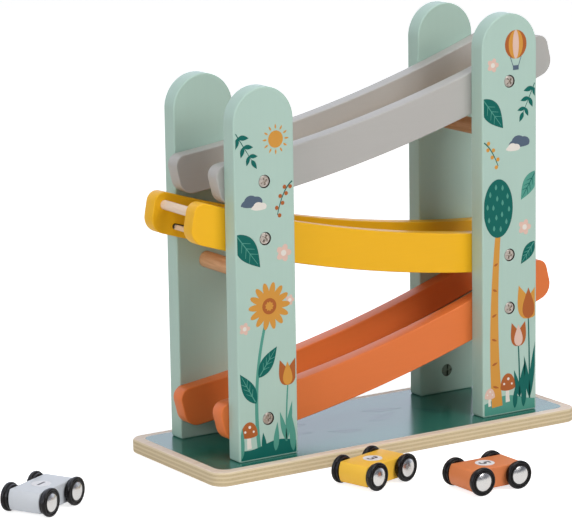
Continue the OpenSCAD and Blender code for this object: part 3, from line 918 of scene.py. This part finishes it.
def tree(foot, bend, top, crown_w, crown_h):
    """A tree: a bent trunk with bark marks, and an oval crown with small leaf marks in two rings."""
    foot, bend, top = vectors(foot, bend, top)
    yield OCHRE, 1, stroke(foot, bend, top, TRUNK_W)
    for i, t in enumerate(np.linspace(0.12, 0.82, 6)):
        place, half_mark = bent(t, foot, bend, top), np.array([2.6 - 1.2 * t, -0.8 * (-1) ** i])
        yield RUST, 2, leaf(place - half_mark, place + half_mark, 1.5)
    middle = top + (0, crown_h * 0.38)
    yield DARK, 3, oval(*middle, crown_w / 2, crown_h / 2, 48)
    for share, count in ((0.34, 5), (0.74, 10)):
        for angle in np.radians(np.arange(count) * 360 / count + 90 * share):
            ray = np.array([crown_w / 2 * math.cos(angle), crown_h / 2 * math.sin(angle)])
            start = middle + share * ray - (0, 1.6)
            yield TEAL, 4, leaf(start, start + (0, 3.8), 1.7)


def left_print():
    """The garden on the front left post."""
    return [
        (DARK, 0, ground(9, 2, 7, 0.5)),
        *sun(8.5, 199, 9.5, OCHRE),
        *sprig((-20, 205), (-9, 188), 7, 3),
        *clouds(-9, 160, 7, 5),
        *berry_branch((20, 172), (13, 168), (9, 152), 7, 1.3, RUST),
        *veined_leaf((-21, 143), (-4, 121), 14),
        *flower(13, 128, 5.6),
        (TEAL, 1, stroke((-7, 8), (-12, 52), (1, 92), SUNFLOWER_STEM_W)),
        *veined_leaf((-8.6, 36), (-20, 56), 9, layer=2),
        *veined_leaf((-6.5, 52), (7, 70), 9, layer=2),
        *flower(2, 96, 15, 14, OCHRE, RUST, 2),
        (OCHRE, 4, petals(2, 96, 3, 0.8, 9)),
        *tulip(13, 9, 48, 1.5, RUST, OCHRE, TEAL),
        *flower(17, 98, 3.4),
        *flower(-16, 84, 4),
        *toadstool(-14, 8, 6, 17),
        blade((5, 4), (6.5, 22), 4, TEAL), blade((-3, 4), (-4, 17), 3.6, DARK, 1),
        blade((18, 2), (17, 25), 4.5, TEAL), blade((-20, 2), (-19, 22), 4, TEAL),
    ]


def right_print():
    """The garden on the front right post."""
    return [
        (TEAL, 0, ground(10, 2.5, 8, 2)),
        *balloon(5, 241, 8.5, RUST, OCHRE, PINK),
        *flower(-13, 229, 4.6),
        *sprig((20, 215), (11, 197), 7, 3),
        *veined_leaf((-21, 208), (-5, 188), 13),
        *clouds(8, 176, 7.5, -5),
        *berry_branch((-20, 180), (-14, 176), (-9, 164), 6, 1.3, OCHRE),
        *veined_leaf((21, 158), (9, 140), 10, TEAL, DARK),
        *tree((-10, 6), (-15, 60), (-9, 122), 23, 38),
        *flower(12, 122, 5.2),
        *veined_leaf((20, 112), (9, 98), 8),
        *tulip(8, 10, 46, -1, RUST, PINK, DARK),
        *tulip(16, 8, 72, -1, OCHRE, RUST, DARK),
        *toadstool(-1.5, 8, 6, 19),
        *toadstool(-16, 7, 4, 12, PINK, 3),
        blade((11, 3), (12, 24), 4, DARK), blade((4, 3), (5, 19), 3.6, DARK),
    ]


def film(outline, side, layer):
    """A thin plate of ink on a front post, kept to the flat of its face, from a little inside the wood."""
    reach = POST_W / 2 - PRINT_MARGIN
    across = np.clip(outline[:, 0], -reach, reach) + side * POST_X
    up = np.maximum(outline[:, 1], PRINT_FOOT) + BASE_TOP
    depths = (-POST_OUTER_Y - INK_T * (layer + 1), -POST_OUTER_Y + INK_DEPTH)
    points = np.concatenate([np.stack([across, np.full(len(across), depth), up], 1) for depth in depths])
    return points, [face[::-1] for face in ring_faces(2, len(across), True)]


def make_print(side, shapes):
    """The print on a front post, as one piece for each ink."""
    for ink in INKS:
        films = [film(outline, side, layer) for colour, layer, outline in shapes if colour == ink]
        new_piece(f"front_{SIDE_NAMES[side]}_post_print_{ink}", merged(films), ink, "root", slot="mint_paint")


def split_leaf(base, tip, width):
    """The two halves of a leaf, drawn apart along its middle rib."""
    whole = leaf(base, tip, width)
    base, tip = vectors(base, tip)
    side = left_of(tip - base)
    reach = (whole - base) @ side
    return [whole + np.outer(sign * np.maximum(SPLIT_W / 2 - sign * reach, 0), side) for sign in (1, -1)]


def make_field_print():
    """Leaves lying about on the base board's field, between the front and back posts."""
    leaves = [((-62, 6), (-38, -6), 11), ((-30, 14), (-52, 22), 9), ((8, -4), (34, 6), 12),
              ((18, 20), (44, 12), 9), ((62, -14), (50, 8), 10), ((-8, -18), (-28, -10), 9)]
    heights = (BASE_TOP - INK_DEPTH, BASE_TOP + INK_T)
    films = []
    for outline in (half for measures in leaves for half in split_leaf(*measures)):
        points = np.concatenate([np.column_stack([outline, np.full(len(outline), z)]) for z in heights])
        films.append((points, ring_faces(2, len(outline), True)))
    new_piece("base_board_print", merged(films), "field_ink", "root", slot="plywood")


# The ramps. Angles are in degrees from straight down, and each ramp is drawn with its high end at +X.

def ramp_frame(ramp):
    """The centre of a ramp's curve, and the angle of its low end."""
    low, high = RAMPS[ramp][:2]
    pitch = 2 * POST_X
    slope = math.atan2(high - low, pitch)
    half_turn = math.asin(math.hypot(pitch, high - low) / 2 / RAMP_R)
    reach = RAMP_R * math.cos(half_turn)
    centre = np.array([-reach * math.sin(slope), BASE_TOP + (low + high) / 2 + reach * math.cos(slope)])
    return centre, math.degrees(slope - half_turn - LOW_OVERHANG / RAMP_R)


def turn_of(length):
    """The angle of a length along a ramp's mid-line."""
    return math.degrees(length / RAMP_R)


def from_centre(centre, radius, angle):
    """The point at a radius and an angle from a centre: centre + radius * (sin, -cos)."""
    turn = math.radians(angle)
    return centre + radius * np.array([math.sin(turn), -math.cos(turn)])


def ramp_point(ramp, length, radius):
    """The point at a length from the low end and at a radius, in X and Z, with the high end on its side."""
    centre, start = ramp_frame(ramp)
    x, z = from_centre(centre, radius, start + turn_of(length))
    return x * RAMPS[ramp][2], z


def curved_bar(ramp, inner, outer, faces):
    """The outline of a bar that follows a ramp's curve, with round corners, drawn anticlockwise.

    Inner and outer are a side's radius and its corners' radius, and the angles of its corners at the low
    and the high end. Faces are the angles that the low and the high end are square to."""
    centre = ramp_frame(ramp)[0]
    inner_r, inner_corner, inner_low, inner_high = inner
    outer_r, outer_corner, outer_low, outer_high = outer
    low_face, high_face = faces

    def inner_round(angle, start, end):
        middle = from_centre(centre, inner_r + inner_corner, angle)
        return arc(middle, inner_corner, start, end, RAMP_CORNER_ARC)

    def outer_round(angle, start, end):
        middle = from_centre(centre, outer_r - outer_corner, angle)
        return arc(middle, outer_corner, start, end, RAMP_CORNER_ARC)

    outline = joined([
        arc(centre, outer_r, outer_low - 90, outer_high - 90, RAMP_ARC),
        outer_round(outer_high, outer_high - 90, high_face),
        inner_round(inner_high, high_face, inner_high + 90),
        arc(centre, inner_r, inner_high - 90, inner_low - 90, RAMP_ARC, -1),
        inner_round(inner_low, inner_low + 90, low_face + 180),
        outer_round(outer_low, low_face + 180, outer_low + 270),
    ])
    return outline if RAMPS[ramp][2] > 0 else mirrored(outline)


def band_outline(ramp, inner_r, outer_r, start_l, end_l, corner_r):
    """The outline of the floor or its groove, between two lengths, with ends square to the curve.

    A corner lies in from its end by asin(corner_r / radius of the corner's centre)."""
    zero = ramp_frame(ramp)[1]
    low, high = zero + turn_of(start_l), zero + turn_of(end_l)
    inner_turn = math.degrees(math.asin(corner_r / (inner_r + corner_r)))
    outer_turn = math.degrees(math.asin(corner_r / (outer_r - corner_r)))
    return curved_bar(ramp, (inner_r, corner_r, low + inner_turn, high - inner_turn),
                      (outer_r, corner_r, low + outer_turn, high - outer_turn), (low, high))


def cheek_outline(ramp):
    """The outline of a cheek, whose two ends are square to the line between them.

    A corner lies off the middle by asin((reach - its radius) / radius of its centre), where reach is half
    the line's length."""
    half_turn = turn_of(RAMP_L) / 2
    middle = ramp_frame(ramp)[1] + half_turn
    reach = RAMP_R * math.sin(math.radians(half_turn))
    inner_r, outer_r = RAMP_R - RAMP_H / 2, RAMP_R + RAMP_H / 2
    top_turn = math.degrees(math.asin((reach - CHEEK_TOP_R) / (inner_r + CHEEK_TOP_R)))
    bottom_turn = math.degrees(math.asin((reach - CHEEK_BOTTOM_R) / (outer_r - CHEEK_BOTTOM_R)))
    return curved_bar(ramp, (inner_r, CHEEK_TOP_R, middle - top_turn, middle + top_turn),
                      (outer_r, CHEEK_BOTTOM_R, middle - bottom_turn, middle + bottom_turn),
                      (middle, middle))


def make_ramp(ramp):
    """A ramp: two grooved cheeks, the floor panel between them, and the stop bar across the high end."""
    paint = RAMPS[ramp][3]
    inner_y = POST_INNER_Y - CHEEK_T
    floor_top = RAMP_R + FLOOR_DROP - FLOOR_T / 2
    floor_bottom = floor_top + FLOOR_T
    floor_end = RAMP_L - FLOOR_HIGH_INSET
    half_groove = (FLOOR_T + GROOVE_GAP) / 2
    groove = band_outline(ramp, floor_top - GROOVE_GAP, floor_bottom, FLOOR_LOW_INSET - half_groove,
                          floor_end + half_groove, half_groove * GROOVE_ROUND)
    stop_x, stop_z = ramp_point(ramp, RAMP_L - STOP_INSET, RAMP_R - STOP_RISE)
    for face in BOTH_WAYS:
        node = f"{ramp}_{FACE_NAMES[face]}_cheek"
        depths = sorted((face * inner_y, face * POST_INNER_Y))
        board = slab(cheek_outline(ramp), *depths, RAMP_EDGE_R)
        piece = new_piece(node + "_wood", board, paint, "root", [node])
        opening, stop_seat = face * (inner_y - OVERRUN), face * (inner_y + STOP_SEAT + STOP_END_GAP)
        depths = sorted((opening, face * (inner_y + GROOVE_DEPTH)))
        carve(piece, [slab(groove, *depths, CUTTER_EDGE_R, steps=2),
                      bore(stop_x, stop_z, STOP_D + 2 * BAR_GAP, opening, stop_seat)])
    half_w = inner_y + GROOVE_DEPTH - FLOOR_SIDE_GAP
    panel = band_outline(ramp, floor_top, floor_bottom, FLOOR_LOW_INSET, floor_end, FLOOR_CORNER_R)
    new_piece(ramp + "_floor_wood", slab(panel, -half_w, half_w, FLOOR_EDGE_R, steps=3), "pale_wood", "root",
              [ramp + "_floor"])
    half_l = inner_y + STOP_SEAT
    new_piece(ramp + "_stop_bar_wood", rod(stop_x, stop_z, STOP_D, -half_l, half_l), "bar_wood", "root",
              [ramp + "_stop_bar"], "pale_wood")


# Bars and screws

def make_brace(side):
    """The round brace between a front and a back post."""
    name, reach = SIDE_NAMES[side] + "_brace", POST_INNER_Y + BRACE_SEAT
    bar = rod(side * POST_X, brace_height(side), BRACE_D, -reach, reach)
    new_piece(name + "_wood", bar, "beech", "root", [name])


def screw_shape():
    """A screw along Z with its head's top at 0: a turned profile whose face is pressed in along a cross.

    The face has a fine ring groove. The cross's depth at a point is CROSS_DEPTH * s^2 * (3 - 2 s), where s
    goes from 0 to 1 over CROSS_SLOPE as the point passes into either arm."""
    head_r, shank_r, foot = SCREW_HEAD_D / 2, SCREW_D / 2, -SCREW_HEAD_H - SCREW_L
    angle = np.radians([0, 22, 45, 68, 90])
    rim = np.stack([head_r - RIM_R + RIM_R * np.cos(angle), -RIM_R + RIM_R * np.sin(angle)], 1).tolist()
    under = [(0, foot), (shank_r, foot), (shank_r, -SCREW_HEAD_H), (head_r, -SCREW_HEAD_H)]
    ring = [(RING_R + 2 * RING_SLOPE, 0), (RING_R + RING_SLOPE, 0), (RING_R, -RING_DEPTH),
            (RING_R - RING_FLOOR, -RING_DEPTH)]
    face_r = RING_R - RING_FLOOR - RING_SLOPE
    face = [(r, 0) for r in np.arange(face_r, FACE_STEP / 2, -FACE_STEP)]
    points, faces = lathe(under + rim + ring + face + [(0, 0)], SCREW_TURNS)
    across, along = np.abs(points[:, 0]), np.abs(points[:, 1])
    arm = np.maximum(np.minimum(across, along) - CROSS_W / 2, np.maximum(across, along) - CROSS_L / 2)
    share = np.clip(0.5 - arm / CROSS_SLOPE, 0, 1)
    on_face = points[:, 2] > -RING_DEPTH * 1.5
    points[:, 2] -= on_face * CROSS_DEPTH * share * share * (3 - 2 * share)
    return points, faces


def make_screws(face):
    """The six screws of the front or back posts, each turned by an angle of its own."""
    name, screw, shapes = FACE_NAMES[face] + "_ramp_screws", screw_shape(), []
    outwards = np.array(TO_BACK if face > 0 else TO_FRONT)
    for side in BOTH_WAYS:
        for z in screw_heights(side):
            axes = outwards @ np.array(about_z(NEXT_SCREW_TURN * len(shapes) + FIRST_SCREW_TURN))
            shapes.append(turned(screw, axes, (side * POST_X, face * (POST_OUTER_Y - SCREW_SINK), z)))
    new_piece(name + "_steel", merged(shapes), "steel", "root", [name])


# The cars

def at_place(shape, car):
    """A shape drawn about a car's middle, with the front towards -X, put where the car stands."""
    x, y, turn = CARS[car][:3]
    return turned(shape, about_z(turn), (x, y, 0))


def car_outline():
    """A car's side outline: flat above and below, bulging in flat arcs at its ends, with small rounds.

    An end's arc goes through its middle at CAR_L / 2 and through the block's edges CAR_NOSE further in. A
    round touches the flat and, from inside, the arc."""
    middle, half_h, r = WHEEL_D / 2, CAR_H / 2, CAR_CORNER_R
    nose_r = (half_h ** 2 + CAR_NOSE ** 2) / (2 * CAR_NOSE)
    nose_x = CAR_L / 2 - nose_r
    round_x = nose_x + math.sqrt((nose_r - r) ** 2 - (half_h - r) ** 2)
    meet = math.degrees(math.atan2(half_h - r, round_x - nose_x))
    low, high = middle - half_h + r, middle + half_h - r
    return joined([
        arc((round_x, low), r, -90, -meet, SMALL_ARC),
        arc((nose_x, middle), nose_r, -meet, meet, NOSE_ARC),
        arc((round_x, high), r, meet, 90, SMALL_ARC),
        arc((-round_x, high), r, 90, 180 - meet, SMALL_ARC),
        arc((-nose_x, middle), nose_r, 180 - meet, 180 + meet, NOSE_ARC),
        arc((-round_x, low), r, 180 + meet, 270, SMALL_ARC),
    ])


def make_car_body(car):
    """A car's painted block, bored for its two axles."""
    block = slab(car_outline(), -CAR_W / 2, CAR_W / 2, CAR_EDGE_R)
    piece = new_piece(car + "_body_wood", at_place(block, car), car + "_paint", car, [car + "_body"],
                      CARS[car][3])
    bores = [bore(end * WHEELBASE / 2, WHEEL_D / 2, AXLE_D + 2 * AXLE_GAP, -CAR_W, CAR_W)
             for end in BOTH_WAYS]
    carve(piece, [at_place(shape, car) for shape in bores])


def make_label(car):
    """The round sticker on the roof, and its number, whose top points to the car's rear."""
    top = (WHEEL_D + CAR_H) / 2
    circle = arc((-LABEL_OFFSET, 0), LABEL_D / 2, 0, 360 - 360 / LABEL_TURNS, LABEL_TURNS)
    sticker = slab(circle, top, top + LABEL_T, LABEL_EDGE_R, "z", steps=3)
    new_piece(car + "_label_sticker", at_place(sticker, car), "label", car, [car + "_label"])
    upright = ((0, 1, 0), (-1, 0, 0), (0, 0, 1))
    number = turned(figure_shape(CARS[car][4]), upright, (-LABEL_OFFSET, 0, top + LABEL_T))
    new_piece(car + "_number", at_place(number, car), "figure_ink", car, slot="label")


def figure_shape(figure):
    """A plain figure as a thin plate, FIGURE_H high and centred, a tenth of its thickness below 0."""
    curve = bpy.data.curves.new("figure", "FONT")
    curve.body = figure
    curve.extrude = FIGURE_EXTRUDE
    curve.offset = FIGURE_BOLD
    holder = in_scene("figure", curve)
    mesh = bpy.data.meshes.new_from_object(holder.evaluated_get(bpy.context.evaluated_depsgraph_get()))
    points = np.zeros(len(mesh.vertices) * 3)
    mesh.vertices.foreach_get("co", points)
    points = points.reshape(-1, 3)
    low, high = points.min(0), points.max(0)
    scale = FIGURE_H / (high[1] - low[1])
    points = (points - (low + high) / 2) * (scale, scale, FIGURE_T / (high[2] - low[2]))
    faces = [list(polygon.vertices) for polygon in mesh.polygons]
    bpy.data.objects.remove(holder)
    return points + (0, 0, FIGURE_T * 0.4), faces


def ring_profile(points):
    """A closed profile of (radius, height) points, each corner cut by a small round given as a third value.

    A round is a bent line between two points that lie its value away from the corner, bent at the
    corner."""
    made = []
    for i, (r, h, cut) in enumerate(points):
        here, before, after = vectors((r, h), points[i - 1][:2], points[(i + 1) % len(points)][:2])
        if cut == 0:
            made.append(here)
            continue
        start, end = (here + cut * (other - here) / np.linalg.norm(other - here) for other in (before, after))
        made += [bent(t, start, here, end) for t in np.linspace(0, 1, 5)]
    return np.array(made)


def wheel_shape():
    """A wheel about Z, from its inner face at 0: a step, a tread with round shoulders, a groove and a hub."""
    r, w = WHEEL_D / 2, WHEEL_W
    axle_r, step_r, cap_r = AXLE_D / 2 + HUB_GAP, r - TREAD_RISE, CAP_D / 2 + CAP_GAP
    ring_r = r - TYRE_BEVEL - TYRE_RING_W
    hub_r = ring_r - RING_GROOVE_W
    groove_w, seat_w = w - RING_GROOVE_DEPTH, w - CAP_SEAT
    profile = ring_profile([
        (axle_r, 0, 0), (step_r, 0, STEP_CUT), (step_r, STEP_W, INNER_CUT), (r, STEP_W, TREAD_INNER_CUT),
        (r, w, TREAD_OUTER_CUT), (ring_r, w, TYRE_RING_CUT), (ring_r, groove_w, GROOVE_CUT),
        (hub_r, groove_w, GROOVE_CUT), (hub_r, w, INNER_CUT), (cap_r, w, GROOVE_CUT), (cap_r, seat_w, 0),
        (axle_r, seat_w, 0),
    ])
    return lathe(np.vstack([profile, profile[:1]]), WHEEL_TURNS)


def cap_shape():
    """A pressed cap about Z: a spherical dome on a short edge, less a small dimple at its centre.

    The dimple's depth at a radius r is DIMPLE_DEPTH * exp(-(r / DIMPLE_R)^2). The innermost millimetre has
    closer rings."""
    r, rise = CAP_D / 2, CAP_H - CAP_EDGE_H
    sphere_r = (r * r + rise * rise) / (2 * rise)
    radii = np.concatenate([np.linspace(r, 1.0, 20), np.linspace(0.9, 0, 9)])
    height = CAP_H - sphere_r + np.sqrt(sphere_r ** 2 - radii ** 2)
    height -= DIMPLE_DEPTH * np.exp(-((radii / DIMPLE_R) ** 2))
    return lathe(np.vstack([[(0, 0), (r, 0)], np.stack([radii, height], 1)]), CAP_TURNS)


def make_wheels(car):
    """A car's wheels and caps. Those of one axle ride on the axle's body."""
    wheel, cap = wheel_shape(), cap_shape()
    for end in BOTH_WAYS:
        axle, caps = f"{car}_{END_NAMES[end]}", []
        for side, axes in ((-1, TO_FRONT), (1, TO_BACK)):
            x, y, z = end * WHEELBASE / 2, side * (CAR_W / 2 + WHEEL_GAP), WHEEL_D / 2
            node = f"{axle}_{SIDE_NAMES[side]}_wheel"
            tyre = at_place(turned(wheel, axes, (x, y, z)), car)
            new_piece(node + "_tyre", tyre, "black_plastic", axle + "_wheels", [node])
            caps.append(at_place(turned(cap, axes, (x, y + side * (WHEEL_W - CAP_SEAT), z)), car))
        node = axle + "_caps"
        new_piece(node + "_steel", merged(caps), "cap_chrome", axle + "_wheels", [node])


def dress(node, finish):
    """Gives a finish to a CAD node that keeps its own mesh."""
    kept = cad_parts[node]
    kept.data.materials.clear()
    kept.data.materials.append(MATERIALS[finish])


make_base()
for side in BOTH_WAYS:
    for face in BOTH_WAYS:
        make_post(side, face)
make_print(-1, left_print())
make_print(1, right_print())
make_field_print()
for ramp in RAMPS:
    make_ramp(ramp)
for side in BOTH_WAYS:
    make_brace(side)
for face in BOTH_WAYS:
    make_screws(face)
for car in CARS:
    make_car_body(car)
    make_label(car)
    make_wheels(car)
dress("post_bolts", "steel")
# The barrel nuts get steel darkened and tinted mint as painted shade
dress("barrel_nuts", "dark_steel")
dress("foot_pins", "pale_wood")
for car in CARS:
    for end in BOTH_WAYS:
        dress(f"{car}_{END_NAMES[end]}_axle", "steel")


# The floor, the light and the camera

def make_floor():
    """A pale floor that keeps the shadows, and shows near white where the light falls on it."""
    half = FLOOR_HALF * MM
    mesh = bpy.data.meshes.new("floor")
    mesh.from_pydata([(x * half, y * half, 0) for x, y in ((-1, -1), (1, -1), (1, 1), (-1, 1))], [],
                     [(0, 1, 2, 3)])
    floor = in_scene("floor", mesh)
    finish = Finish("floor")
    glow = FLOOR_GLOW * finish.ray("Camera") + FLOOR_MIRROR_GLOW * finish.ray("Glossy")
    mesh.materials.append(finish.set(Base_Color=srgb(238, 238, 238), Roughness=0.9, Specular_IOR_Level=0.1,
                                     Emission_Color=(1, 1, 1, 1), Emission_Strength=glow))


class Studio(Finish):
    """The world's light, made as a finish is. Its place is the way that a ray takes."""

    def __init__(self, name):
        world = bpy.data.worlds.new(name)
        bpy.context.scene.world = world
        world.use_nodes = True
        self.material = world
        self.tree = world.node_tree
        self.shader = self.tree.nodes["Background"]
        self.place = self.node("TexCoord", out="Generated")


def make_world():
    """Studio light. The camera sees white. Gloss sees a cool white behind the toy and overhead, and a
    darker room behind the camera. The toy is lit from the front left and a little from all round."""
    studio = Studio("studio")
    to_right, to_back, to_top = (studio.part(index) for index in range(3))
    camera, glossy = studio.ray("Camera"), studio.ray("Glossy")
    to_window = to_right * WINDOW_AIM[0] + to_back * WINDOW_AIM[1] + to_top * WINDOW_AIM[2]
    light = LIGHT_EVEN + LIGHT_ABOVE * to_top.at_least(0.0) + LIGHT_WINDOW * to_window.at_least(0.0)
    above = to_top.rise(*OVERHEAD) * (1 - ROOM_DARK)
    behind = to_back.rise(*BACKDROP) * ROOM_BEHIND
    left = to_right.rise(*LEFT_WALL) * ROOM_LEFT
    mirror = ROOM_DARK + above.at_least(behind).at_least(left)
    strength = camera + (1 - camera) * (glossy * mirror + (1 - glossy) * light)
    studio.set(Strength=strength, Color=studio.mix(glossy, (1, 1, 1, 1), COOL_WHITE))


def make_lamp(name, place, size, power):
    """A square soft box at a place in millimetres, facing the middle of the toy."""
    lamp = bpy.data.lights.new(name, "AREA")
    lamp.size = size * MM
    lamp.energy = power
    holder = in_scene(name, lamp)
    holder.location = [value * MM for value in place]
    x, y, z = np.array(LAMP_TARGET) - np.array(place)
    holder.rotation_euler = Euler((math.atan2(math.hypot(x, y), -z), 0, math.atan2(y, x) - math.pi / 2))


def make_camera():
    """The photograph's camera, found by fitting a pinhole camera to measured edges of the toy."""
    data = bpy.data.cameras.new("camera")
    data.lens = CAMERA_LENS
    data.sensor_width = CAMERA_SENSOR
    data.clip_end = CAMERA_REACH
    camera = in_scene("camera", data)
    camera.location = [value * MM for value in CAMERA_PLACE]
    yaw, pitch, roll = (math.radians(angle) for angle in CAMERA_ANGLES)
    turn = Euler((0, 0, yaw)).to_matrix() @ Euler((math.pi / 2 - pitch, 0, 0)).to_matrix()
    camera.rotation_euler = (turn @ Euler((0, 0, roll)).to_matrix()).to_euler()
    bpy.context.scene.camera = camera


make_floor()
make_world()
for name, (place, size, power) in LAMPS.items():
    make_lamp(name, place, size, power)
make_camera()
bpy.context.scene.view_settings.view_transform = "Standard"
